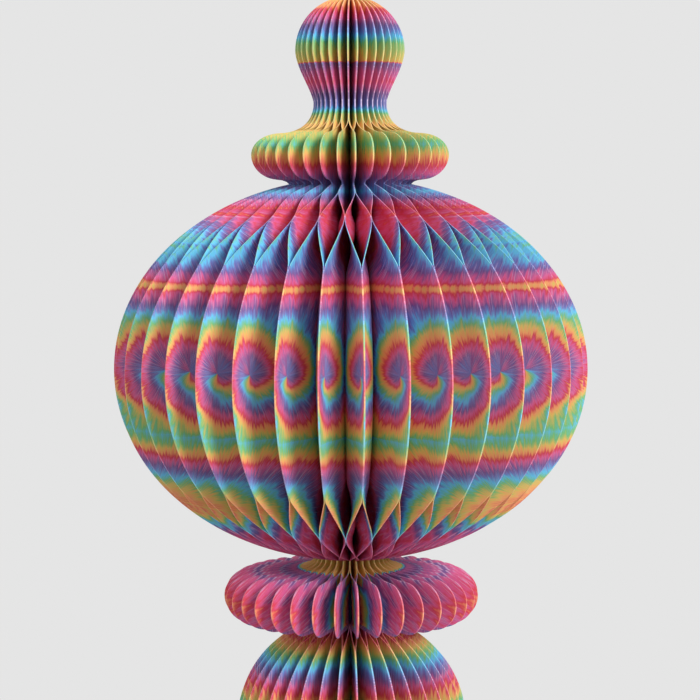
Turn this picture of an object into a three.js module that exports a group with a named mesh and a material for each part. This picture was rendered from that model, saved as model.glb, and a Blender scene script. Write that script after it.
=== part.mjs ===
// Paper finial decoration: sheets of printed card, all cut to one outline, each folded down the
// middle and fanned round a common spine. Neighbouring leaves are glued at their edges, by turns
// to the one side and to the other, so the edges run together in pairs and part again between
// the glue spots, which opens diamond-shaped gaps.
// Millimetres, +Z up, standing on its flat foot, origin on the axis at the foot.
import * as THREE from 'three';

// The stack of sheets
const sheetCount = 36;
const cardThickness = 0.25;
const glueGap = 0.3;
const firstRidgeDegrees = -87;

// Ball at the foot
const footRadius = 28;
const ballRadius = 49;
const ballCrown = 46.4;
const ballPinchRadius = 29.6;

// Lower waist, collar and neck
const lowerWaistRadius = 18.6;
const lowerWaistRise = 46;
const lowerCollarRadius = 54.1;
const lowerCollarShoulder = 42;
const lowerCollarRise = 9.4;
const lowerCollarUnderside = 11;
const lowerCollarTop = 10.6;
const lowerNeckRadius = 16;
const lowerNeckHeight = 6.1;

// Globe
const globeRadius = 100;
const globeHalfHeight = 80.7;
const bellyShare = 0.64;

// Upper waist and collar
const upperWaistRadius = 25.8;
const upperCollarRadius = 41.7;
const upperCollarShoulder = 30;
const upperCollarRise = 12.3;
const upperCollarUnderside = 10.4;
const upperCollarTop = 9;

// Upper neck and knob
const upperNeckRadius = 15.3;
const upperNeckRise = 21.1;
const flareRadius = 18.4;
const flareShare = 0.32;
const knobRadius = 23;
const knobRise = 22.6;
const knobTop = 22.7;

const cardColour = 0xb86f8c;

// One leaf fills one side of a sheet's wedge of the circle
const wedgeAngle = Math.PI / sheetCount;
const wedgeSlope = Math.tan(wedgeAngle);
const halfCard = cardThickness / 2;
const faceMargin = (cardThickness + glueGap) / 2;
const spineRadius = 2 * faceMargin / wedgeSlope;

// Heights of the sections, stacked from the foot up
const ballCentre = Math.sqrt(ballRadius ** 2 - footRadius ** 2);
const lowerWaist = ballCentre + lowerWaistRise;
const lowerCollarCentre = lowerWaist + lowerCollarRise;
const lowerNeck = lowerCollarCentre + lowerCollarTop;
const globeStart = Math.asin(Math.sqrt(1 - (lowerNeckRadius / globeRadius) ** 2));
const globeEnd = Math.asin(Math.sqrt(1 - (upperWaistRadius / globeRadius) ** 2));
const globeCentre = lowerNeck + lowerNeckHeight + globeHalfHeight * Math.sin(globeStart);
const upperWaist = globeCentre + globeHalfHeight * Math.sin(globeEnd);
const upperCollarCentre = upperWaist + upperCollarRise;
const upperNeck = upperCollarCentre + upperNeckRise;
const knobCentre = upperNeck + knobRise;

// Where a leaf's edge lies in its wedge: on the ridge between two sheets, on the ridge in the
// middle of its own sheet, or half-way across
const OUTER = 0;
const HALFWAY = 0.5;
const INNER = 1;

const radians = THREE.MathUtils.degToRad;

// Points on an elliptical arc, each with its radius, height and side of the wedge
function arc(radius, centre, reachOut, reachUp, stops) {
  return stops.map(([degrees, side]) => ({
    radius: radius + reachOut * Math.cos(radians(degrees)),
    height: centre + reachUp * Math.sin(radians(degrees)),
    side,
  }));
}

const degrees = THREE.MathUtils.radToDeg;
const footAngle = -degrees(Math.asin(ballCentre / ballRadius));
const ballPinchAngle = degrees(Math.acos(ballPinchRadius / ballRadius));

// The globe's pinch stations, in degrees up or down from its equator
const openLimit = 34.6;
const innerPinch = 53.2;
const outerPinch = 68.4;

const topAngle = degrees(Math.acos((spineRadius + cardThickness) / knobRadius));

// The leaf's cut edge, from the foot to the top
const outline = [
  ...arc(0, ballCentre, ballRadius, ballRadius,
    [[footAngle, OUTER], [footAngle / 2, OUTER], [0, OUTER]]),
  ...arc(0, ballCentre, ballRadius, ballCrown,
    [[ballPinchAngle / 2, OUTER], [ballPinchAngle, OUTER]]),
  { radius: lowerWaistRadius, height: lowerWaist, side: INNER },
  ...arc(lowerCollarShoulder, lowerCollarCentre, lowerCollarRadius - lowerCollarShoulder,
    lowerCollarUnderside, [[-90, OUTER], [-40, OUTER], [0, OUTER]]),
  ...arc(lowerCollarShoulder, lowerCollarCentre, lowerCollarRadius - lowerCollarShoulder,
    lowerCollarTop, [[40, OUTER], [90, OUTER]]),
  { radius: lowerNeckRadius, height: lowerNeck, side: INNER },
  ...arc(0, globeCentre, globeRadius, globeHalfHeight,
    [[-degrees(globeStart), INNER], [-outerPinch, OUTER], [-innerPinch, INNER],
      [-openLimit, OUTER], [-openLimit / 2, OUTER], [0, OUTER], [openLimit / 2, OUTER],
      [openLimit, OUTER], [innerPinch, INNER], [outerPinch, OUTER], [degrees(globeEnd), OUTER]]),
  ...arc(upperCollarShoulder, upperCollarCentre, upperCollarRadius - upperCollarShoulder,
    upperCollarUnderside, [[-60, OUTER], [0, OUTER]]),
  ...arc(upperCollarShoulder, upperCollarCentre, upperCollarRadius - upperCollarShoulder,
    upperCollarTop, [[50, OUTER], [90, OUTER]]),
  {
    radius: flareRadius,
    height: upperCollarCentre + upperCollarTop + flareShare * (upperNeckRise - upperCollarTop),
    side: HALFWAY,
  },
  { radius: upperNeckRadius, height: upperNeck, side: INNER },
  ...arc(0, knobCentre, knobRadius, knobTop,
    [[0, INNER], [topAngle / 2, INNER], [topAngle * 0.82, INNER], [topAngle, INNER]]),
];

// The line where a globe leaf swings over to the other side of its wedge
const belly = arc(0, globeCentre, bellyShare * globeRadius, bellyShare * globeHalfHeight,
  [[-innerPinch, OUTER], [-openLimit, INNER], [0, INNER], [openLimit, INNER],
    [innerPinch, OUTER]]);

// Points on the straight fold: the foot, one just above the lower waist, one just above the lower
// neck, one in the upper collar, and the top. Each sees the stretch of edge that it is joined to.
const topHeight = outline[outline.length - 1].height;
const foldHeights = [0, lowerWaist + lowerCollarRise / 4, lowerNeck + 2 * lowerNeckHeight,
  upperCollarCentre, topHeight];
const spine = foldHeights.map((height) => ({ radius: spineRadius, height, side: HALFWAY }));
const [footFold, , globeFold, collarFold, topFold] = spine;
const innerChain = [footFold, spine[1], globeFold, ...belly, collarFold, topFold];

// A point's place in the sheet's own frame: x along the sheet's middle plane, y across it
function place(point) {
  const reach = point.radius;
  const room = reach * Math.sin(wedgeAngle) - 2 * faceMargin;
  const across = faceMargin + Math.max(room, 0) * (1 - point.side);
  return { x: Math.sqrt(reach ** 2 - across ** 2), y: across, z: point.height };
}

// Twice the area of a triangle in the leaf's plane, positive when it turns from the edge inward
function turn(a, b, c) {
  return (b.radius - a.radius) * (c.height - a.height)
    - (b.height - a.height) * (c.radius - a.radius);
}

// Triangles between the cut edge and the inner chain. Of all the ways to step along the two, it is
// the one whose diagonals are the shortest in sum and whose triangles all turn the right way.
function stitch(edge, chain) {
  const best = edge.map(() => chain.map(() => ({ length: Infinity })));
  best[0][0] = { length: 0 };
  edge.forEach((edgePoint, i) => chain.forEach((chainPoint, j) => {
    const diagonal = Math.hypot(edgePoint.radius - chainPoint.radius,
      edgePoint.height - chainPoint.height);
    const steps = [];
    if (i > 0) {
      steps.push({ from: best[i - 1][j], corners: [edge[i - 1], edgePoint, chainPoint] });
    }
    if (j > 0) {
      steps.push({ from: best[i][j - 1], corners: [edgePoint, chainPoint, chain[j - 1]] });
    }
    for (const step of steps) {
      const length = step.from.length + diagonal;
      if (turn(...step.corners) > 0 && length < best[i][j].length) {
        best[i][j] = { length, ...step };
      }
    }
  }));
  const triangles = [];
  for (let at = best.at(-1).at(-1); at.from; at = at.from) {
    triangles.push(at.corners);
  }
  return triangles;
}

// The inner band of the globe, from the belly line to the straight spine
function innerBand() {
  const rim = [globeFold, ...belly, collarFold];
  const contour = rim.map((point) => new THREE.Vector2(point.radius, point.height));
  return THREE.ShapeUtils.triangulateShape(contour, [])
    .map((corners) => corners.map((index) => rim[index]))
    .map(([a, b, c]) => (turn(a, b, c) > 0 ? [a, b, c] : [a, c, b]));
}

// One folded sheet: two mirrored leaves, each with a face on either side, joined at the spine
function sheetGeometry() {
  const positions = [];
  const indices = [];
  const numbers = new Map();

  function vertex(point, half, outer) {
    const onSpine = spine.includes(point);
    const key = [outline.indexOf(point), innerChain.indexOf(point), outer || !onSpine ? half : 0,
      outer].join();
    if (!numbers.has(key)) {
      const { x, y, z } = place(point);
      if (onSpine && !outer) {
        positions.push(x + cardThickness, 0, z);
      } else {
        positions.push(x, half * (y + (outer ? halfCard : -halfCard)), z);
      }
      numbers.set(key, numbers.size);
    }
    return numbers.get(key);
  }

  function triangle(a, b, c) {
    indices.push(a, b, c);
  }

  function quad(a, b, c, d) {
    triangle(a, b, c);
    triangle(a, c, d);
  }

  const leaf = [...stitch(outline, innerChain), ...innerBand()];
  for (const half of [1, -1]) {
    const wound = half === 1 ? triangle : (a, b, c) => triangle(a, c, b);
    for (const [a, b, c] of leaf) {
      wound(vertex(a, half, true), vertex(c, half, true), vertex(b, half, true));
      wound(vertex(a, half, false), vertex(b, half, false), vertex(c, half, false));
    }
    for (let i = 0; i < outline.length - 1; i += 1) {
      const [low, high] = [outline[i], outline[i + 1]];
      const corners = [vertex(low, half, true), vertex(high, half, true),
        vertex(high, half, false), vertex(low, half, false)];
      wound(corners[0], corners[1], corners[2]);
      wound(corners[0], corners[2], corners[3]);
    }
    for (const [end, edge] of [[footFold, outline[0]], [topFold, outline[outline.length - 1]]]) {
      const corners = [vertex(end, half, true), vertex(edge, half, true),
        vertex(edge, half, false), vertex(end, half, false)];
      const upward = end === topFold ? half : -half;
      const order = upward === 1 ? [3, 2, 1, 0] : [0, 1, 2, 3];
      quad(...order.map((index) => corners[index]));
    }
  }
  for (let i = 0; i < spine.length - 1; i += 1) {
    quad(vertex(spine[i], -1, true), vertex(spine[i + 1], -1, true),
      vertex(spine[i + 1], 1, true), vertex(spine[i], 1, true));
  }
  triangle(vertex(footFold, 1, true), vertex(footFold, 1, false), vertex(footFold, -1, true));
  triangle(vertex(topFold, 1, true), vertex(topFold, -1, true), vertex(topFold, 1, false));

  const geometry = new THREE.BufferGeometry();
  geometry.setAttribute('position', new THREE.Float32BufferAttribute(positions, 3));
  geometry.setIndex(indices);
  geometry.computeVertexNormals();
  return geometry;
}

const finial = new THREE.Group();
const sharedGeometry = sheetGeometry();
for (let number = 0; number < sheetCount; number += 1) {
  const material = new THREE.MeshStandardMaterial({
    color: cardColour,
    roughness: 0.75,
    metalness: 0,
  });
  const sheet = new THREE.Mesh(sharedGeometry, material);
  sheet.name = `sheet_${String(number + 1).padStart(2, '0')}`;
  sheet.rotation.z = radians(firstRidgeDegrees) + (2 * number + 1) * wedgeAngle;
  finial.add(sheet);
}

export default finial;
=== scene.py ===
"""Paper finial decoration: 36 folded sheets of printed card, fanned round one spine."""
import math

import bpy
import numpy as np
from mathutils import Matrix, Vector


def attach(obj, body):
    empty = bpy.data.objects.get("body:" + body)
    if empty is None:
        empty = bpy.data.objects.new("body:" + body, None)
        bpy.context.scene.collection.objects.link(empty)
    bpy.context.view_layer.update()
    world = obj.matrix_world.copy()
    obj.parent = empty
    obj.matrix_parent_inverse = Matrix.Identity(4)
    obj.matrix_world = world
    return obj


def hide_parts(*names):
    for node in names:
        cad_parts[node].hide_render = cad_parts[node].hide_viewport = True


bl_info = {
    "name": "Paper finial decoration",
    "version": (1, 0, 0),
    "blender": (4, 5, 0),
    "location": "View3D > Sidebar > Finial",
    "description": "Fanned, edge-glued card leaves with a spiral-dyed print",
    "category": "Object",
}

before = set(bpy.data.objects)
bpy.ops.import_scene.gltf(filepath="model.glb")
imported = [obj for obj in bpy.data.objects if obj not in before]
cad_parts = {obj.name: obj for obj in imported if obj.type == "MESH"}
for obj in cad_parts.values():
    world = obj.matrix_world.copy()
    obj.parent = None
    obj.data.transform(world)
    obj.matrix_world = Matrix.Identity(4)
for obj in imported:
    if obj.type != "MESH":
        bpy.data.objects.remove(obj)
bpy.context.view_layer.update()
SHEET_NAMES = sorted(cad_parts)
SHEET_COUNT = len(SHEET_NAMES)
WEDGE = math.pi / SHEET_COUNT
MM = 0.001


def length(name, description, default_mm):
    """A length property whose default is given in millimetres."""
    return bpy.props.FloatProperty(
        name=name, description=description, default=default_mm * MM, min=0.0,
        subtype="DISTANCE", unit="LENGTH", precision=4)


def angle(name, description, default_degrees):
    """An angle property whose default is given in degrees."""
    return bpy.props.FloatProperty(
        name=name, description=description, default=math.radians(default_degrees),
        subtype="ANGLE", unit="ROTATION")


def srgb(code):
    """The linear RGBA colour of an sRGB hex value."""
    channels = [int(code[i:i + 2], 16) / 255 for i in (1, 3, 5)]
    linear = [c / 12.92 if c <= 0.04045 else ((c + 0.055) / 1.055) ** 2.4 for c in channels]
    return (*linear, 1.0)


def colour(name, description, code):
    """A colour property whose default is an sRGB hex value."""
    return bpy.props.FloatVectorProperty(
        name=name, description=description, default=srgb(code), size=4, min=0.0, max=1.0,
        subtype="COLOR")


class FinialSizes(bpy.types.PropertyGroup):
    """Sizes of the folded sheets, the same as those of the model that they replace."""

    card: length("Card", "Thickness of the card", 0.25)
    glue: length("Glue gap", "Gap left between two glued leaves", 0.04)
    first_ridge: angle("First ridge", "Direction of the first glued ridge, from +X", -87)
    wander: angle("Ridge wander", "How far a ridge strays from its even place", 0.22)
    foot: length("Foot", "Radius of the flat foot", 28)
    ball: length("Ball", "Radius of the lower ball", 49)
    ball_crown: length("Ball crown", "Height of the ball above its middle", 46.4)
    ball_pinch: length("Ball pinch", "Radius where the ball's leaves part", 29.6)
    lower_waist: length("Lower waist", "Radius of the waist above the ball", 18.6)
    waist_rise: length("Waist rise", "Height of the lower waist over the ball's middle", 46)
    lower_collar: length("Lower collar", "Radius of the lower collar", 54.1)
    lower_shoulder: length("Lower shoulder", "Radius where the collar's round rim begins", 42)
    lower_rise: length("Lower rise", "Height of the collar's middle over the waist", 9.4)
    lower_under: length("Lower underside", "Depth of the collar below its middle", 11)
    lower_over: length("Lower top side", "Height of the collar above its middle", 10.6)
    lower_neck: length("Lower neck", "Radius of the neck under the globe", 16)
    neck_height: length("Neck height", "Height of the neck under the globe", 6.1)
    globe: length("Globe", "Radius of the globe", 100)
    globe_half: length("Globe half height", "Half of the full globe's height", 80.7)
    upper_waist: length("Upper waist", "Radius of the waist on top of the globe", 25.8)
    upper_collar: length("Upper collar", "Radius of the upper collar", 41.7)
    upper_shoulder: length("Upper shoulder", "Radius where the collar's round rim begins", 30)
    upper_rise: length("Upper rise", "Height of the collar's middle over the waist", 12.3)
    upper_under: length("Upper underside", "Depth of the collar below its middle", 10.4)
    upper_over: length("Upper top side", "Height of the collar above its middle", 9.0)
    upper_neck: length("Upper neck", "Radius of the neck under the knob", 15.3)
    neck_rise: length("Neck rise", "Height of the neck over the collar's middle", 21.1)
    knob: length("Knob", "Radius of the knob", 23)
    knob_rise: length("Knob rise", "Height of the knob's middle over its neck", 22.6)
    knob_top: length("Knob top", "Height of the knob above its middle", 22.7)


class FinialPrint(bpy.types.PropertyGroup):
    """Colours and sizes of the spiral-dyed print."""

    orange: colour("Orange", "Dye at the start of the colour cycle", "#EEA068")
    ochre: colour("Ochre", "Dye between orange and green", "#DBBC62")
    green: colour("Green", "Green dye", "#72BC78")
    cyan: colour("Cyan", "Sky blue dye", "#62C2EA")
    blue: colour("Blue", "Blue to violet dye", "#6A7CBE")
    purple: colour("Purple", "Purple dye", "#765894")
    pink: colour("Pink", "Pink dye", "#D65F92")
    red: colour("Red", "Red dye", "#D03E50")
    lilac: colour("Lilac", "Thin pale lines where the purple dye missed the pleats", "#D8C2E2")
    cut_edge: colour("Cut edge", "Fibre at the card's cut edge, tinted by the print", "#F4E6DE")
    cycle: length("Colour cycle", "Width of one run through all the colours", 18.8)
    tile: length("Tile", "Width of one mirrored tile of the print", 59.2)
    seam: length("Seam", "Height of a seam between two tiles", 169.4)
    centre_rise: length("Centre rise", "Height of a spiral's centre over its seam", 26.1)
    centre_radius: length("Centre radius", "Radius of a spiral's centre", 88)
    neck_level: length("Neck level", "Height where the globe's spirals begin", 112)
    waist_level: length("Waist level", "Height where the ball's bands end", 86)
    crown_level: length("Crown level", "Height where the globe's spirals end", 260)
    belly_level: length("Belly level", "Height of the rings' centre under the globe's belly", 132)
    belly_radius: length("Belly radius", "Radius of the rings' centre under the belly", 83)
    ball_cycle: length("Ball cycle", "Height of one run through the colours on the ball", 21.5)
    ball_ochre: length("Ball ochre", "Height of an ochre band on the ball", 75.6)
    collar_cycle: length("Collar cycle", "Depth of one run through the colours in the collar", 40)
    collar_lilac: length("Collar lilac", "Radius of the lilac ring in the lower collar", 40)
    collar_top: length("Collar top side", "Height where the lower collar's top side begins", 102)
    collar_ochre: length("Collar ochre", "Radius of the ochre ring round the lower neck", 21)
    seam_line: length("Seam line", "Half the width of the orange line at the upper seam", 2.2)


def add_node(tree, kind, settings=None, inputs=None):
    """Adds one node with its settings, and its inputs as values, sockets or other nodes."""
    node = tree.nodes.new(kind)
    for key, value in (settings or {}).items():
        setattr(node, key, value)
    for key, value in (inputs or {}).items():
        if isinstance(value, bpy.types.Node):
            value = value.outputs[0]
        if isinstance(value, bpy.types.NodeSocket):
            tree.links.new(value, node.inputs[key])
        else:
            node.inputs[key].default_value = value
    return node


# Node kinds that the print uses many times, and the settings of its arithmetic
MATH = "ShaderNodeMath"
RANGE = "ShaderNodeMapRange"
ADD = {"operation": "ADD"}
SUBTRACT = {"operation": "SUBTRACT"}
MULTIPLY = {"operation": "MULTIPLY"}
MULTIPLY_ADD = {"operation": "MULTIPLY_ADD"}
DIVIDE = {"operation": "DIVIDE"}
MINIMUM = {"operation": "MINIMUM"}
MAXIMUM = {"operation": "MAXIMUM"}
ABSOLUTE = {"operation": "ABSOLUTE"}
LENGTH = {"operation": "LENGTH"}
SMOOTH = {"interpolation_type": "SMOOTHSTEP"}
FLAT = {"noise_dimensions": "2D"}

# Shares of the colour cycle, outward from a spiral's centre
CYCLE_STOPS = [(0.0, "orange"), (0.11, "ochre"), (0.24, "green"), (0.38, "cyan"), (0.49, "blue"),
               (0.61, "purple"), (0.77, "pink"), (0.89, "red"), (1.0, "orange")]

# The middle of the purple dye in the cycle, where the pale hairlines show most
PURPLE_SHARE = 0.62

# How far the cycle has run where a spiral's rings begin, where it stops short of the seams, how
# far it lags above the upper seam, and how far it has run at the ball's ochre band
SPIRAL_START = 0.21
SPIRAL_LIMIT = 1.84
SHOULDER_LAG = 0.02
BALL_START = 1.1

# How far the cycle has run at the lower collar's lilac ring, and how fast it goes on to the rim
LILAC_RUN = 1.7
RIM_RISE = 2.1

# Streaks of dye all round a spiral, and how many cycles the streaks and the pools shift a band
PLEATS = 110
STREAK_SHIFT = 0.4
POOL_SHIFT = 0.16

# Sizes on the card: how long a streak runs out from a spiral, the width and length of one that
# stands upright, and a pool. Streaks 0.1 mm wide would not show, so they are drawn coarser.
STREAK_REACH = 9 * MM
UPRIGHT_STREAK = (1.25 * MM, 12.5 * MM)
POOL_SIZE = 8 * MM

# How far the colour cycle has run above the globe's shoulder: height in mm, cycles
CROWN_RUN = [(260, 0.92), (267, 0.4), (286, 1.27), (292, 1.08), (299, 1.15),
             (303, 1.55), (312, 1.8), (320.0, 1.62), (320.6, 2.08), (328, 2.2), (340, 2.85),
             (352, 3.15)]


def crown_run(tree, height):
    """The colour cycle's run above the globe, as a curve over height."""
    low, high = CROWN_RUN[0][0], CROWN_RUN[-1][0]
    most = CROWN_RUN[-1][1]
    share = add_node(tree, RANGE, None, {
        "Value": height, "From Min": low * MM, "From Max": high * MM})
    curve = add_node(tree, "ShaderNodeFloatCurve", None, {"Value": share})
    knots = [((level - low) / (high - low), run / most) for level, run in CROWN_RUN]
    points = curve.mapping.curves[0].points
    points[0].location, points[-1].location = knots[0], knots[-1]
    for knot in knots[1:-1]:
        points.new(*knot)
    for point in points:
        point.handle_type = "VECTOR"
    curve.mapping.update()
    return add_node(tree, MATH, MULTIPLY, {0: curve, 1: most})


def spiral_run(tree, dyes, reach, across, up):
    """The colour cycle's run round a spiral, without its limit at the seams."""
    # Towards the seams the rings flatten into level bands
    off_level = add_node(tree, MATH, ABSOLUTE, {0: up})
    flatten = add_node(tree, RANGE, SMOOTH, {
        "Value": off_level, "From Min": 14 * MM, "From Max": 31 * MM, "To Min": 1.0,
        "To Max": 0.12})
    across = add_node(tree, MATH, MULTIPLY, {0: across, 1: flatten})
    offset = add_node(tree, "ShaderNodeCombineXYZ", None, {"X": across, "Y": up})
    distance = add_node(tree, "ShaderNodeVectorMath", LENGTH, {0: offset}).outputs["Value"]
    rings = add_node(tree, MATH, DIVIDE, {0: distance, 1: dyes.cycle})
    angle_up = add_node(tree, MATH, {"operation": "ARCTAN2"}, {0: up, 1: across})
    turn = add_node(tree, MATH, DIVIDE, {0: angle_up, 1: 2 * math.pi})

    # The rings' upper half is round, and their lower half takes up the whole turn
    lower_turn = add_node(tree, MATH, MINIMUM, {0: turn, 1: 0.0})
    lower_half = add_node(tree, MATH, MULTIPLY, {0: lower_turn, 1: -2.0})
    bent = add_node(tree, MATH, {"operation": "POWER"}, {0: lower_half, 1: 1.75})
    winding = add_node(tree, MATH, SUBTRACT, {0: SPIRAL_START, 1: bent})
    outer = add_node(tree, MATH, ADD, {0: rings, 1: winding})

    # The centre is a violet hook, open downwards to green and red, with pink on its outer side.
    # A turn runs from -0.5 to 0.5, with 0 towards the cut edge and 0.25 upwards.
    below = add_node(tree, RANGE, SMOOTH, {
        "Value": turn, "From Min": -0.44, "From Max": -0.1, "To Min": -0.48, "To Max": 0.14})
    pink_side = add_node(tree, RANGE, SMOOTH, {
        "Value": turn, "From Min": -0.16, "From Max": 0.1, "To Min": 0.0, "To Max": 0.54})
    violet_side = add_node(tree, RANGE, SMOOTH, {
        "Value": turn, "From Min": 0.12, "From Max": 0.3, "To Min": 0.0, "To Max": -0.16})
    hook = add_node(tree, MATH, ADD, {0: below, 1: pink_side})
    hook = add_node(tree, MATH, ADD, {0: hook, 1: violet_side})
    hook = add_node(tree, MATH, MULTIPLY_ADD, {0: rings, 1: 0.35, 2: hook})
    beyond = add_node(tree, RANGE, SMOOTH, {
        "Value": reach, "From Min": 2 * MM, "From Max": 9 * MM})
    run = add_node(tree, "ShaderNodeMix", None, {0: beyond, 2: hook, 3: outer})

    # Outside the pink arm the colours run on faster to green, but only towards the cut edge
    turned = add_node(tree, MATH, ADD, {0: turn, 1: 0.03})
    off_side = add_node(tree, MATH, ABSOLUTE, {0: turned})
    sideways = add_node(tree, RANGE, SMOOTH, {
        "Value": off_side, "From Min": 0.13, "From Max": 0.23, "To Min": 1.0, "To Max": 0.0})
    past_arm = add_node(tree, "ShaderNodeClamp", None, {
        "Value": add_node(tree, MATH, SUBTRACT, {0: run, 1: 0.85}), "Min": 0.0, "Max": 0.2})
    return add_node(tree, MATH, MULTIPLY_ADD, {0: past_arm, 1: sideways, 2: run})


def belly_run(tree, dyes, radius, height):
    """The cycle's run under the belly: wide rings that end in red inside the diamonds."""
    drop = add_node(tree, MATH, SUBTRACT, {0: height, 1: dyes.belly_level})
    across = add_node(tree, MATH, SUBTRACT, {0: radius, 1: dyes.belly_radius})
    near_seam = add_node(tree, RANGE, SMOOTH, {
        "Value": drop, "From Min": 12 * MM, "From Max": 37 * MM})
    narrowing = add_node(tree, MATH, MULTIPLY_ADD, {0: near_seam, 1: -0.8, 2: 1.0})
    across = add_node(tree, MATH, MULTIPLY, {0: across, 1: narrowing})
    offset = add_node(tree, "ShaderNodeCombineXYZ", None, {"X": across, "Y": drop})
    distance = add_node(tree, "ShaderNodeVectorMath", LENGTH, {0: offset}).outputs["Value"]
    belly_cycle = 1.23 * dyes.cycle
    start = add_node(tree, MATH, MULTIPLY_ADD, {0: near_seam, 1: 0.24, 2: 0.49})
    run = add_node(tree, MATH, MULTIPLY_ADD, {0: distance, 1: 1 / belly_cycle, 2: start})
    limit = add_node(tree, RANGE, None, {
        "Value": drop, "From Min": 16 * MM, "From Max": 26 * MM, "To Min": 1.8, "To Max": 3.0})
    return add_node(tree, MATH, MINIMUM, {0: limit, 1: run})


def collar_run(tree, dyes, radius, height):
    """The cycle's run over the lower collar: lilac inside, red and orange towards the rim."""
    depth = add_node(tree, MATH, SUBTRACT, {0: radius, 1: dyes.collar_lilac})
    depth = add_node(tree, MATH, DIVIDE, {0: depth, 1: dyes.collar_cycle})
    inner = add_node(tree, MATH, MINIMUM, {0: depth, 1: 0.0})
    outer = add_node(tree, MATH, MAXIMUM, {0: depth, 1: 0.0})
    underside = add_node(tree, RANGE, None, {
        "Value": height, "From Min": dyes.collar_top - 5 * MM, "From Max": dyes.collar_top + MM,
        "To Min": 1.6, "To Max": 0.0})
    rim = add_node(tree, MATH, MULTIPLY, {0: outer, 1: outer})
    run = add_node(tree, MATH, MULTIPLY_ADD, {0: rim, 1: RIM_RISE, 2: LILAC_RUN})
    run = add_node(tree, MATH, MULTIPLY_ADD, {0: inner, 1: underside, 2: run})

    # On the top side an ochre ring lies round the neck
    neck_ring = add_node(tree, RANGE, SMOOTH, {
        "Value": radius, "From Min": dyes.collar_ochre, "From Max": dyes.collar_ochre + 3 * MM,
        "To Min": -0.63, "To Max": 0.0})
    on_top = add_node(tree, MATH, {"operation": "GREATER_THAN"}, {0: height, 1: dyes.collar_top})
    return add_node(tree, MATH, MULTIPLY_ADD, {0: neck_ring, 1: on_top, 2: run})


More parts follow.
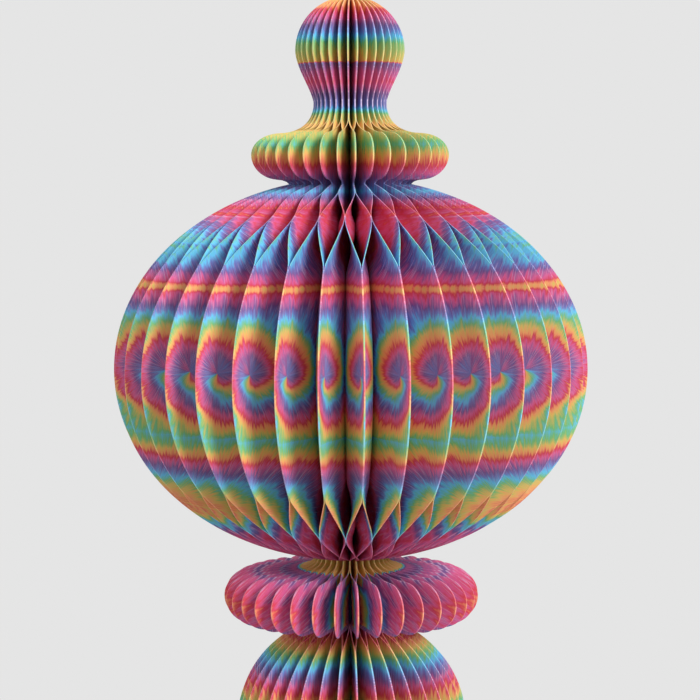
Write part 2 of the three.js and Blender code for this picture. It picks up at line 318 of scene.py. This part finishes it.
def print_colour(tree, dyes):
    """The dye colour by place on the flat sheet: mirrored spirals, and plain bands elsewhere."""
    place = add_node(tree, "ShaderNodeTexCoord").outputs["Object"]
    axes = add_node(tree, "ShaderNodeSeparateXYZ", None, {"Vector": place}).outputs
    height = axes["Z"]
    level_place = add_node(tree, "ShaderNodeCombineXYZ", None, {"X": axes["X"], "Y": axes["Y"]})
    radius = add_node(tree, "ShaderNodeVectorMath", LENGTH, {0: level_place}).outputs["Value"]

    # Place round the nearest spiral's centre: the tiles mirror each other at every seam
    over_seam = add_node(tree, MATH, SUBTRACT, {0: height, 1: dyes.seam})
    mirrored = add_node(tree, MATH, {"operation": "PINGPONG"}, {0: over_seam, 1: dyes.tile})
    up = add_node(tree, MATH, SUBTRACT, {0: mirrored, 1: dyes.centre_rise})
    across = add_node(tree, MATH, SUBTRACT, {0: radius, 1: dyes.centre_radius})
    offset = add_node(tree, "ShaderNodeCombineXYZ", None, {"X": across, "Y": up})
    reach = add_node(tree, "ShaderNodeVectorMath", LENGTH, {0: offset}).outputs["Value"]
    pleat = add_node(tree, MATH, {"operation": "ARCTAN2"}, {0: up, 1: across})

    spiral = spiral_run(tree, dyes, reach, across, up)
    shoulder = add_node(tree, MATH, SUBTRACT, {0: spiral, 1: SHOULDER_LAG})
    upper_seam = dyes.seam + dyes.tile
    ball_drop = add_node(tree, MATH, SUBTRACT, {0: dyes.ball_ochre, 1: height})
    zones = [
        (dyes.crown_level, add_node(tree, MATH, MINIMUM, {0: shoulder, 1: SPIRAL_LIMIT})),
        (upper_seam, add_node(tree, MATH, MINIMUM, {0: spiral, 1: SPIRAL_LIMIT})),
        (dyes.seam, belly_run(tree, dyes, radius, height)),
        (dyes.neck_level, collar_run(tree, dyes, radius, height)),
        (dyes.waist_level, add_node(tree, MATH, MULTIPLY_ADD, {
            0: ball_drop, 1: 1 / dyes.ball_cycle, 2: BALL_START}))]
    run = crown_run(tree, height)
    for level, lower in zones:
        below = add_node(tree, MATH, {"operation": "LESS_THAN"}, {0: height, 1: level})
        run = add_node(tree, "ShaderNodeMix", None, {0: below, 2: run, 3: lower})

    # A thin orange line where the spirals meet above the globe's middle
    over_line = add_node(tree, MATH, SUBTRACT, {0: height, 1: upper_seam})
    off_line = add_node(tree, MATH, ABSOLUTE, {0: over_line})
    line = add_node(tree, RANGE, None, {
        "Value": off_line, "From Min": 0.4 * MM, "From Max": dyes.seam_line, "To Min": 0.2,
        "To Max": 0.0})
    run = add_node(tree, MATH, ADD, {0: run, 1: line})

    # Dye creeps along the pleats, which run out from the centre, so each band has a ragged edge.
    # On the knob, the neck and the ball the pleats run upright.
    above = add_node(tree, MATH, {"operation": "GREATER_THAN"}, {0: height, 1: dyes.crown_level})
    below = add_node(tree, MATH, {"operation": "LESS_THAN"}, {0: height, 1: dyes.waist_level})
    upright = add_node(tree, MATH, MAXIMUM, {0: above, 1: below})
    pleat_place = add_node(tree, "ShaderNodeCombineXYZ", None, {
        "X": add_node(tree, MATH, MULTIPLY, {0: pleat, 1: PLEATS / (2 * math.pi)}),
        "Y": add_node(tree, MATH, MULTIPLY, {0: reach, 1: 1 / STREAK_REACH})})
    streak_width, streak_length = UPRIGHT_STREAK
    upright_place = add_node(tree, "ShaderNodeCombineXYZ", None, {
        "X": add_node(tree, MATH, MULTIPLY, {0: radius, 1: 1 / streak_width}),
        "Y": add_node(tree, MATH, MULTIPLY, {0: height, 1: 1 / streak_length})})
    streak_place = add_node(tree, "ShaderNodeMix", {"data_type": "VECTOR"}, {
        "Factor": upright, "A": pleat_place, "B": upright_place}).outputs["Result"]
    streaks = add_node(tree, "ShaderNodeTexNoise", FLAT, {
        "Vector": streak_place, "Scale": 1.0, "Detail": 4.0, "Roughness": 0.6})
    run = add_node(tree, MATH, MULTIPLY_ADD, {0: streaks, 1: STREAK_SHIFT, 2: run})

    # It also pools unevenly, which bends the bands a little
    sheet_place = add_node(tree, "ShaderNodeCombineXYZ", None, {"X": radius, "Y": height})
    pools = add_node(tree, "ShaderNodeTexNoise", FLAT, {
        "Vector": sheet_place, "Scale": 1 / POOL_SIZE, "Detail": 1.0})
    run = add_node(tree, MATH, MULTIPLY_ADD, {0: pools, 1: POOL_SHIFT, 2: run})

    # Both noises lie round a half, which is taken off here
    run = add_node(tree, MATH, SUBTRACT, {0: run, 1: 0.5 * (STREAK_SHIFT + POOL_SHIFT)})
    share = add_node(tree, MATH, {"operation": "FRACT"}, {0: run})
    ramp = add_node(tree, "ShaderNodeValToRGB", None, {"Fac": share})
    stops = ramp.color_ramp.elements
    for position, _ in CYCLE_STOPS[1:-1]:
        stops.new(position)
    for stop, (position, dye) in zip(stops, CYCLE_STOPS):
        stop.position = position
        stop.color = getattr(dyes, dye)

    # Pale hairlines along the pleats, finer than the streaks and strongest where the dye is purple
    hair_place = add_node(tree, "ShaderNodeVectorMath", MULTIPLY, {
        0: streak_place, 1: (4.0, 0.7, 1.0)})
    hairs = add_node(tree, "ShaderNodeTexNoise", FLAT, {
        "Vector": hair_place, "Scale": 1.0, "Detail": 2.0, "Roughness": 0.5})
    thin = add_node(tree, RANGE, None, {
        "Value": hairs, "From Min": 0.55, "From Max": 0.7, "To Max": 0.62})
    past_purple = add_node(tree, MATH, SUBTRACT, {0: share, 1: PURPLE_SHARE})
    off_purple = add_node(tree, MATH, ABSOLUTE, {0: past_purple})
    purple = add_node(tree, RANGE, None, {
        "Value": off_purple, "From Min": 0.24, "From Max": 0.08, "To Min": 0.18})
    amount = add_node(tree, MATH, MULTIPLY, {0: thin, 1: purple})
    return add_node(tree, "ShaderNodeMix", {"data_type": "RGBA"}, {
        "Factor": amount, "A": ramp.outputs["Color"], "B": dyes.lilac}).outputs["Result"]


def press_fibres(tree, shader, depth):
    """Relief of the card's fibres, which are 0.03 mm wide and are drawn as clumps of 0.6 mm."""
    place = add_node(tree, "ShaderNodeTexCoord").outputs["Object"]
    clumps = add_node(tree, "ShaderNodeTexNoise", inputs={
        "Vector": place, "Scale": 1 / (0.6 * MM), "Detail": 2.0, "Roughness": 0.6})
    relief = add_node(tree, "ShaderNodeBump", inputs={
        "Height": clumps.outputs["Fac"], "Distance": depth})
    tree.links.new(relief.outputs["Normal"], shader.inputs["Normal"])


def printed_card(dyes):
    """Smooth 200 g card, calendered and digitally printed on both sides.

    The eye sees a matte face, and in the light that grazes a leaf a faint mottle of pressed fibres.
    """
    material = bpy.data.materials.new("printed_card")
    material.use_nodes = True
    tree = material.node_tree
    shader = tree.nodes["Principled BSDF"]
    tree.links.new(print_colour(tree, dyes), shader.inputs["Base Color"])
    shader.inputs["Roughness"].default_value = 0.62
    shader.inputs["IOR"].default_value = 1.47
    press_fibres(tree, shader, 0.03 * MM)
    return material


def cut_card(dyes):
    """The edge of the same card, cut with a knife: open fibre, rougher and paler than the face.

    The eye sees a thin light line round each leaf, tinted by the ink that soaked in.
    """
    material = bpy.data.materials.new("cut_card_edge")
    material.use_nodes = True
    tree = material.node_tree
    shader = tree.nodes["Principled BSDF"]
    tint = add_node(tree, "ShaderNodeMix", {"data_type": "RGBA"}, {
        "Factor": 0.88, "A": dyes.cut_edge, "B": print_colour(tree, dyes)})
    tree.links.new(tint.outputs["Result"], shader.inputs["Base Color"])
    shader.inputs["Roughness"].default_value = 0.85
    press_fibres(tree, shader, 0.06 * MM)
    return material


# Points across a leaf, crowded towards the cut edge
ACROSS_STEPS = 13
ACROSS_CROWDING = 1.15

# How far out from the fold, of the whole way, a globe leaf lies at the other side of its wedge,
# and how late it swings over to there
BELLY_SHARE = 0.64
SWING_LATENESS = 1.6

# How softly the cut edge turns from one ridge towards the other, from 0 straight to 1 round
EDGE_EASE = 0.12

# Degrees up from the globe's equator, and the ridge that the edge lies on there
GLOBE_KNOTS = [(-76, 1), (-68.4, 0), (-55, 1), (-51.4, 1), (-34.6, 0), (34.6, 0), (51.4, 1),
               (55, 1), (67, 0)]

# Degrees up from the globe's equator, and how far the leaf swings over inside its edge there
SWING_KNOTS = [(-68.4, 0), (-55, 1), (55, 1), (67, 0)]

# Kinds of face, which are the material slots, and the bend that stays sharp
PRINTED, CUT = 0, 1
SHARP_DEGREES = 50

# Seed of the ridges' small wander
WANDER_SEED = 7


def ease(t):
    """A smooth step from 0 to 1."""
    return (1 - np.cos(np.pi * np.clip(t, 0, 1))) / 2


def arc(radius, centre, reach_out, reach_up, start, end, count):
    """Points on an elliptical arc between two angles in degrees."""
    t = np.radians(np.linspace(start, end, count))
    return np.stack([radius + reach_out * np.cos(t), centre + reach_up * np.sin(t)], axis=1)


def bend(start, corner, end, count):
    """A quadratic curve that leaves start towards corner and arrives at end from it."""
    t = np.linspace(0, 1, count)[1:-1, None]
    start, corner, end = (np.array(point) for point in (start, corner, end))
    return (1 - t) ** 2 * start + 2 * t * (1 - t) * corner + t ** 2 * end


def spine_radius(sizes):
    """How near the axis the folds lie when the leaves are packed side by side."""
    return (sizes.card + sizes.glue) / math.tan(WEDGE)


def outline(sizes):
    """The leaf's cut edge from foot to top: points, side of the wedge, fold height and swing."""
    ball = math.sqrt(sizes.ball ** 2 - sizes.foot ** 2)
    waist = ball + sizes.waist_rise
    collar = waist + sizes.lower_rise
    neck = collar + sizes.lower_over
    start = -math.degrees(math.acos(sizes.lower_neck / sizes.globe))
    end = math.degrees(math.acos(sizes.upper_waist / sizes.globe))
    globe = neck + sizes.neck_height - sizes.globe_half * math.sin(math.radians(start))
    upper_waist = globe + sizes.globe_half * math.sin(math.radians(end))
    upper = upper_waist + sizes.upper_rise
    upper_neck = upper + sizes.neck_rise
    knob = upper_neck + sizes.knob_rise

    def degrees_at(radius, whole):
        return math.degrees(math.acos(radius / whole))

    crown_end = degrees_at(sizes.lower_waist + 4 * MM, sizes.ball)
    cheek = (sizes.knob - 3.5 * MM, knob - 11.4 * MM)
    curves = {
        "foot": arc(0, ball, sizes.ball, sizes.ball, -degrees_at(sizes.foot, sizes.ball), 0, 18),
        "crown": arc(0, ball, sizes.ball, sizes.ball_crown, 2, crown_end, 18)}
    curves["throat"] = bend(curves["crown"][-1], (sizes.lower_waist + 0.6 * MM, waist - 2 * MM),
                            (sizes.lower_waist, waist), 6)
    curves["under_rim"] = arc(sizes.lower_shoulder, collar,
                              sizes.lower_collar - sizes.lower_shoulder, sizes.lower_under,
                              -90, 0, 14)
    curves["under"] = bend((sizes.lower_waist, waist),
                           (sizes.lower_waist + MM, collar - sizes.lower_under),
                           curves["under_rim"][0], 12)
    curves["over_rim"] = arc(sizes.lower_shoulder, collar,
                             sizes.lower_collar - sizes.lower_shoulder, sizes.lower_over,
                             6, 90, 13)
    fillet = (sizes.lower_neck, neck + 0.75 * sizes.neck_height)
    curves["over"] = bend(curves["over_rim"][-1], (sizes.lower_neck + 2 * MM, neck), fillet, 14)
    curves["globe"] = arc(0, globe, sizes.globe, sizes.globe_half, start, end, 76)
    curves["wall"] = bend(fillet, (sizes.lower_neck - 0.3 * MM, neck + 0.9 * sizes.neck_height),
                          curves["globe"][0], 5)
    reach = sizes.upper_collar - sizes.upper_shoulder
    curves["upper_rim"] = arc(sizes.upper_shoulder, upper, reach, sizes.upper_under, -85, 0, 13)
    curves["upper_over"] = arc(sizes.upper_shoulder, upper, reach, sizes.upper_over, 7, 90, 12)
    curves["tuck"] = bend(curves["globe"][-1],
                          (sizes.upper_waist + MM, upper - sizes.upper_under - 0.2 * MM),
                          curves["upper_rim"][0], 4)
    curves["flare"] = bend(curves["upper_over"][-1],
                           (sizes.upper_neck + MM, curves["upper_over"][-1][1] + 0.8 * MM),
                           (sizes.upper_neck, upper_neck), 20)
    curves["swell"] = bend((sizes.upper_neck, upper_neck),
                           (sizes.upper_neck, upper_neck + 3 * MM), cheek, 10)
    curves["belly"] = bend(cheek, (sizes.knob, knob - 3.8 * MM), (sizes.knob, knob), 9)
    curves["dome"] = arc(0, knob, sizes.knob, sizes.knob_top, 0,
                         degrees_at(spine_radius(sizes) + sizes.card, sizes.knob), 22)
    order = ["foot", "crown", "throat", "under", "under_rim", "over_rim", "over", "wall", "globe",
             "tuck", "upper_rim", "upper_over", "flare", "swell", "belly", "dome"]
    points = np.concatenate([curves[name] for name in order])
    run = np.concatenate([[0], np.cumsum(np.hypot(*np.diff(points, axis=0).T))])
    first = dict(zip(order, np.cumsum([0] + [len(curves[name]) for name in order])))

    def along(name, share):
        """The distance along the whole edge at a share of one of its curves."""
        return np.interp(first[name] + share * (len(curves[name]) - 1), np.arange(len(run)), run)

    def globe_share(degrees):
        return (degrees - start) / (end - start)

    # The fold is shared out between the sections by length along the cut edge
    fold = np.interp(run, [0, along("throat", 1), along("over", 1), along("globe", 1),
                           along("flare", 1), run[-1]],
                     [0, waist, neck, upper_waist, upper_neck, points[-1][1]])

    # Stations along the edge where it lies on the outer ridge, 0, or the sheet's own ridge, 1
    pinch = degrees_at(sizes.ball_pinch, sizes.ball) / crown_end
    knots = [(0, 0), (along("crown", pinch), 0), (along("throat", 1), 1), (along("under", 0.2), 1),
             (along("under", 0.86), 0), (along("over", 0.14), 0), (along("over", 0.8), 1)]
    knots += [(along("globe", globe_share(station)), side) for station, side in GLOBE_KNOTS]
    knots += [(along("flare", 0.2), 0), (along("flare", 0.62), 1), (run[-1], 1)]
    places, values = np.array(knots).T
    linear = np.interp(run, places, values)
    side = (1 - EDGE_EASE) * linear + EDGE_EASE * ease(linear)

    # Only the globe's leaves swing over inside the edge. The others run straight to the fold.
    knots = [(along("globe", globe_share(station)), swing) for station, swing in SWING_KNOTS]
    places, values = np.array(knots).T
    swings = np.interp(run, places, values)
    return points, side, fold, swings


def leaf_grid(sizes):
    """Radius, height and place in the wedge (0 outer ridge, 1 own ridge) over one leaf."""
    points, side, fold, swings = outline(sizes)
    inner = spine_radius(sizes)
    across = np.linspace(0, 1, ACROSS_STEPS) ** ACROSS_CROWDING
    radius = points[:, :1] + (inner - points[:, :1]) * across
    height = points[:, 1:] + (fold[:, None] - points[:, 1:]) * across
    edge = points[:, :1]
    belly = inner + BELLY_SHARE * (edge - inner)
    outer_share = np.clip((edge - radius) / (edge - belly + 1e-9), 0, 1)
    inner_share = np.clip((belly - radius) / (belly - inner + 1e-9), 0, 1)
    side = side[:, None]
    far = 1 - side
    swing = np.sin(np.pi / 2 * outer_share ** SWING_LATENESS) ** 2
    place = side + (far - side) * swing * swings[:, None]
    place = place + (0.5 - place) * ease(inner_share) * (radius < belly)
    return radius, height, place


def sheet_mesh(name, sizes, grid, own_ridge, left_ridge, right_ridge):
    """One folded sheet: two leaves that meet at the spine, each a thin solid card."""
    radius, height, place = grid
    half_card = sizes.card / 2
    margin = (sizes.card + sizes.glue) / 2

    # The outer and the inner face of each leaf, as points in the wedge between two ridges
    layers = []
    for ridge in (left_ridge, right_ridge):
        reach = abs(ridge - own_ridge)
        direction = 1 if ridge > own_ridge else -1
        room = np.maximum(radius * math.sin(reach) - 2 * margin, 0)
        offset = margin + room * (1 - place)
        middle = own_ridge + direction * np.arcsin(np.clip(offset / radius, -1, 1))
        for shift in (half_card, -half_card):
            around = middle + direction * shift / radius
            layers.append(np.stack([radius * np.cos(around), radius * np.sin(around), height],
                                   axis=-1))
    rows, columns = radius.shape
    vertices = np.concatenate([layer.reshape(-1, 3) for layer in layers])
    count = rows * columns
    index = np.arange(count).reshape(rows, columns)
    quads = []
    kinds = []

    def add(grid_a, grid_b, grid_c, grid_d, flipped, kind):
        corners = [grid_a, grid_b, grid_c, grid_d]
        if flipped:
            corners.reverse()
        quads.append(np.stack([corner.ravel() for corner in corners], axis=1))
        kinds.append(np.full(grid_a.size, kind))

    def strip(near, far, flipped, kind):
        add(near[:-1], near[1:], far[1:], far[:-1], flipped, kind)

    for leaf in range(2):
        outer = index + 2 * leaf * count
        inner = outer + count
        flip = leaf == 1
        for face, turned in ((outer, flip), (inner, not flip)):
            add(face[:-1, :-1], face[1:, :-1], face[1:, 1:], face[:-1, 1:], turned, PRINTED)
        strip(outer[:, 0], inner[:, 0], not flip, CUT)
        strip(outer[0], inner[0], flip, CUT)
        strip(outer[-1], inner[-1], not flip, CUT)

    # The fold joins the two leaves along the spine, and is cut at its ends
    first_outer, second_outer = index[:, -1], index[:, -1] + 2 * count
    first_inner, second_inner = first_outer + count, second_outer + count
    strip(first_outer, second_outer, False, PRINTED)
    strip(first_inner, second_inner, True, PRINTED)
    rim = (first_outer, second_outer, second_inner, first_inner)
    for row, flipped in ((0, False), (-1, True)):
        add(*(np.array([part[row]]) for part in rim), flipped, CUT)
    faces = np.concatenate(quads)
    slots = np.concatenate(kinds)

    mesh = bpy.data.meshes.new(name)
    mesh.vertices.add(len(vertices))
    mesh.vertices.foreach_set("co", vertices.ravel())
    mesh.loops.add(faces.size)
    mesh.loops.foreach_set("vertex_index", faces.ravel())
    mesh.polygons.add(len(faces))
    mesh.polygons.foreach_set("loop_start", np.arange(0, faces.size, 4))
    mesh.polygons.foreach_set("material_index", slots)
    mesh.update(calc_edges=True)
    mesh.validate()
    mesh.polygons.foreach_set("use_smooth", np.ones(len(mesh.polygons), dtype=bool))
    mesh.set_sharp_from_angle(angle=math.radians(SHARP_DEGREES))
    return mesh


class FINIAL_OT_sheets(bpy.types.Operator):
    """Folds, fans and prints all the sheets"""

    bl_idname = "finial.sheets"
    bl_label = "Folded sheets"

    def execute(self, context):
        sizes = context.scene.finial_sizes
        dyes = context.scene.finial_print
        materials = [printed_card(dyes), cut_card(dyes)]
        grid = leaf_grid(sizes)
        rng = np.random.default_rng(WANDER_SEED)
        outer_wander = rng.uniform(-sizes.wander, sizes.wander, SHEET_COUNT)
        inner_wander = rng.uniform(-sizes.wander, sizes.wander, SHEET_COUNT)
        for number, node in enumerate(SHEET_NAMES):
            following = (number + 1) % SHEET_COUNT
            left = sizes.first_ridge + 2 * WEDGE * number + outer_wander[number]
            own = sizes.first_ridge + 2 * WEDGE * (number + 0.5) + inner_wander[number]
            right = sizes.first_ridge + 2 * WEDGE * (number + 1) + outer_wander[following]
            name = f"folded_{node}"
            mesh = sheet_mesh(name, sizes, grid, own, right, left)
            for material in materials:
                mesh.materials.append(material)
            sheet = bpy.data.objects.new(name, mesh)
            context.scene.collection.objects.link(sheet)
            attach(sheet, "root")
            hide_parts(node)
        return {"FINISHED"}


# Studio: the backdrop's grey, the strength of the soft light from all round, the floor's reach and
# depth under the foot, and the radii between which it fades
BACKDROP_GREY = "#E5E5E5"
DOME_STRENGTH = 0.66
FLOOR_REACH = 0.7
FLOOR_DEPTH = 0.0002
FLOOR_FADE = (0.06, 0.2)

# Lamps: name, place, size and power. The key is a large soft one at the front right, and the
# fill at the left is weaker.
LAMPS = [("key", (0.9, -1.3, 0.9), 0.7, 30), ("fill", (-1.2, -0.9, 0.5), 1.0, 6)]
LAMP_AIM = (0, 0, 0.2)

# Camera: a long lens, in mm, a little above the globe's middle, with its dip and roll in degrees
SENSOR_WIDTH = 36
CAMERA_LENS = 118.3
CAMERA_PLACE = (-0.0001, -0.973, 0.2675)
CAMERA_DIP = 3.98
CAMERA_ROLL = 0.15


class FINIAL_OT_stage(bpy.types.Operator):
    """Sets the pale floor, the lamps and the camera"""

    bl_idname = "finial.stage"
    bl_label = "Stage"

    def execute(self, context):
        scene = context.scene
        scene.view_settings.view_transform = "Standard"
        pale = srgb(BACKDROP_GREY)

        # World: the pale studio for the camera, plain soft light for everything else
        world = bpy.data.worlds.new("studio")
        world.use_nodes = True
        scene.world = world
        tree = world.node_tree
        tree.nodes.clear()
        path = add_node(tree, "ShaderNodeLightPath")
        seen = path.outputs["Is Camera Ray"]
        for ray in ("Is Glossy Ray", "Is Transmission Ray"):
            seen = add_node(tree, MATH, MAXIMUM, {0: seen, 1: path.outputs[ray]})
        backdrop = add_node(tree, "ShaderNodeBackground", inputs={"Color": pale, "Strength": 1.0})
        dome = add_node(tree, "ShaderNodeBackground", inputs={
            "Color": (1.0, 1.0, 1.0, 1.0), "Strength": DOME_STRENGTH})
        mix = add_node(tree, "ShaderNodeMixShader", inputs={0: seen, 1: dome, 2: backdrop})
        add_node(tree, "ShaderNodeOutputWorld", inputs={"Surface": mix})

        # Floor: a pale board that fades into the backdrop round the foot, just under it
        floor_mesh = bpy.data.meshes.new("floor")
        corners = [(-1, -1), (1, -1), (1, 1), (-1, 1)]
        floor_mesh.from_pydata([(x * FLOOR_REACH, y * FLOOR_REACH, 0) for x, y in corners], [],
                               [(0, 1, 2, 3)])
        floor = bpy.data.objects.new("floor", floor_mesh)
        floor.location.z = -FLOOR_DEPTH
        material = bpy.data.materials.new("painted_board")
        material.use_nodes = True
        tree = material.node_tree
        shader = tree.nodes["Principled BSDF"]
        shader.inputs["Base Color"].default_value = pale
        shader.inputs["Roughness"].default_value = 0.9
        place = add_node(tree, "ShaderNodeTexCoord").outputs["Object"]
        spread = add_node(tree, "ShaderNodeVectorMath", LENGTH, {0: place})
        fade = add_node(tree, RANGE, SMOOTH, {
            "Value": spread.outputs["Value"], "From Min": FLOOR_FADE[0],
            "From Max": FLOOR_FADE[1], "To Min": 1.0, "To Max": 0.0})
        tree.links.new(fade.outputs[0], shader.inputs["Alpha"])
        floor_mesh.materials.append(material)
        scene.collection.objects.link(floor)

        for name, place, size, power in LAMPS:
            light = bpy.data.lights.new(name, "AREA")
            light.size = size
            light.energy = power
            holder = bpy.data.objects.new(name, light)
            holder.location = place
            direction = Vector(LAMP_AIM) - Vector(place)
            holder.rotation_euler = direction.to_track_quat("-Z", "Y").to_euler()
            scene.collection.objects.link(holder)

        camera = bpy.data.cameras.new("camera")
        camera.sensor_width = SENSOR_WIDTH
        camera.lens = CAMERA_LENS
        camera.clip_start = 0.01
        holder = bpy.data.objects.new("camera", camera)
        holder.location = CAMERA_PLACE
        holder.rotation_euler = (math.radians(90 - CAMERA_DIP), math.radians(CAMERA_ROLL), 0)
        scene.collection.objects.link(holder)
        scene.camera = holder
        return {"FINISHED"}


class FINIAL_PT_panel(bpy.types.Panel):
    """Lists the finial's steps and sizes"""

    bl_idname = "FINIAL_PT_panel"
    bl_label = "Paper finial"
    bl_space_type = "VIEW_3D"
    bl_region_type = "UI"
    bl_category = "Finial"

    def draw(self, context):
        layout = self.layout
        for operator in OPERATORS:
            layout.operator(operator.bl_idname)
        for group in (context.scene.finial_sizes, context.scene.finial_print):
            box = layout.box()
            for name in group.__annotations__:
                box.prop(group, name)


OPERATORS = (FINIAL_OT_stage, FINIAL_OT_sheets)
CLASSES = (FinialSizes, FinialPrint, *OPERATORS, FINIAL_PT_panel)


def register():
    for item in CLASSES:
        bpy.utils.register_class(item)
    bpy.types.Scene.finial_sizes = bpy.props.PointerProperty(type=FinialSizes)
    bpy.types.Scene.finial_print = bpy.props.PointerProperty(type=FinialPrint)


def unregister():
    del bpy.types.Scene.finial_print
    del bpy.types.Scene.finial_sizes
    for item in reversed(CLASSES):
        bpy.utils.unregister_class(item)


def main():
    register()
    bpy.ops.finial.stage()
    bpy.ops.finial.sheets()


if __name__ == "__main__":
    main()
